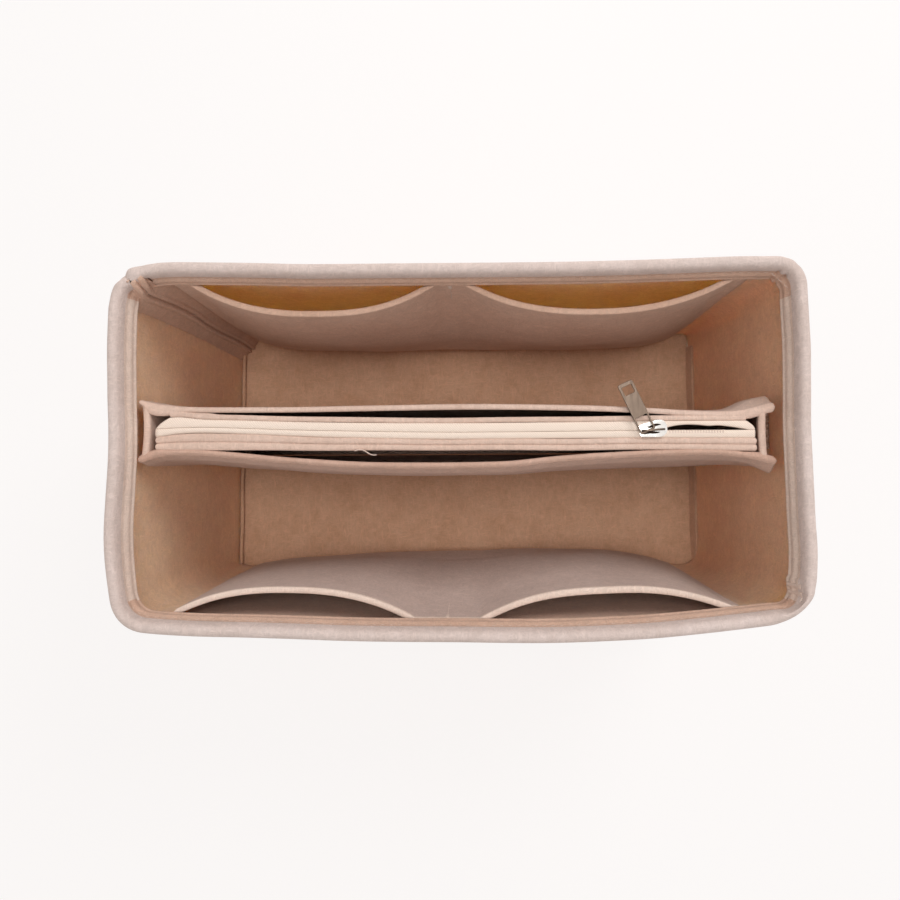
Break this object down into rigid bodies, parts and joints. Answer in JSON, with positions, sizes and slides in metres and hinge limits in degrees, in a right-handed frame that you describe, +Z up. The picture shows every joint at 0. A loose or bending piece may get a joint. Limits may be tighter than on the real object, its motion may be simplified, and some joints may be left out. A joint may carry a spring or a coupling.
{
  "type": "purse organizer insert",
  "caption": "Open-topped felt tray for a handbag, with compartments, gaping wall pockets and a zip pouch that lifts out from the middle.",
  "frame": {"origin": "centre of the underside", "axes": "+X along the tray towards the end where the zip's slider stands, +Y towards the back wall with the seamed corner at its -X end, +Z up"},
  "size_m": [0.2826, 0.1528, 0.15],
  "materials": {
    "felt": "needle-punched felt, pink-beige, matt",
    "felt_dark": "the same felt in the shade of the tray",
    "tape": "close woven zipper tape, cream",
    "coil": "nylon coil, cream",
    "hook_loop": "hook-and-loop tape",
    "thread": "sewing thread",
    "nickel": "polished nickel plate"
  },
  "bodies": {
    "tray": {"floor_panel": "felt_dark", "wall_strip": "felt", "hem_facing": "felt", "hem_tack_front": "thread", "hem_tack_rear": "thread", "back_pocket_panel": "felt", "back_pocket_tack": "thread", "front_pocket_panel": "felt", "front_pocket_tack": "thread", "left_loop_patch": "hook_loop", "right_loop_patch": "hook_loop"},
    "pouch": {"pouch_front_panel": "felt", "pouch_back_panel": "felt", "zip_pocket_front": "felt", "zip_pocket_back": "felt", "zipper_tape_front": "tape", "zipper_tape_back": "tape", "zipper_coil_front": "coil", "zipper_coil_back": "coil", "pouch_left_gusset": "felt", "pouch_right_gusset": "felt", "zip_pocket_left_end": "felt", "zip_pocket_right_end": "felt", "left_hook_patch": "hook_loop", "right_hook_patch": "hook_loop", "pouch_base": "felt"},
    "slider": {"zipper_slider": "nickel"},
    "tab": {"pull_tab": "nickel"}
  },
  "joints": [
    {"name": "pouch_lift_out", "type": "slide", "parent": "tray", "child": "pouch", "axis": [0, 0, 1], "range_m": [0, 0.15]},
    {"name": "slider_travel", "type": "slide", "parent": "pouch", "child": "slider", "axis": [1, 0, 0], "range_m": [-0.196, 0.033]},
    {"name": "tab_flip", "type": "hinge", "parent": "slider", "child": "tab", "pos_m": [0.0785, 0.0067, 0.1392], "axis": [0.9063, 0.4226, 0], "range_deg": [0, 95]}
  ]
}
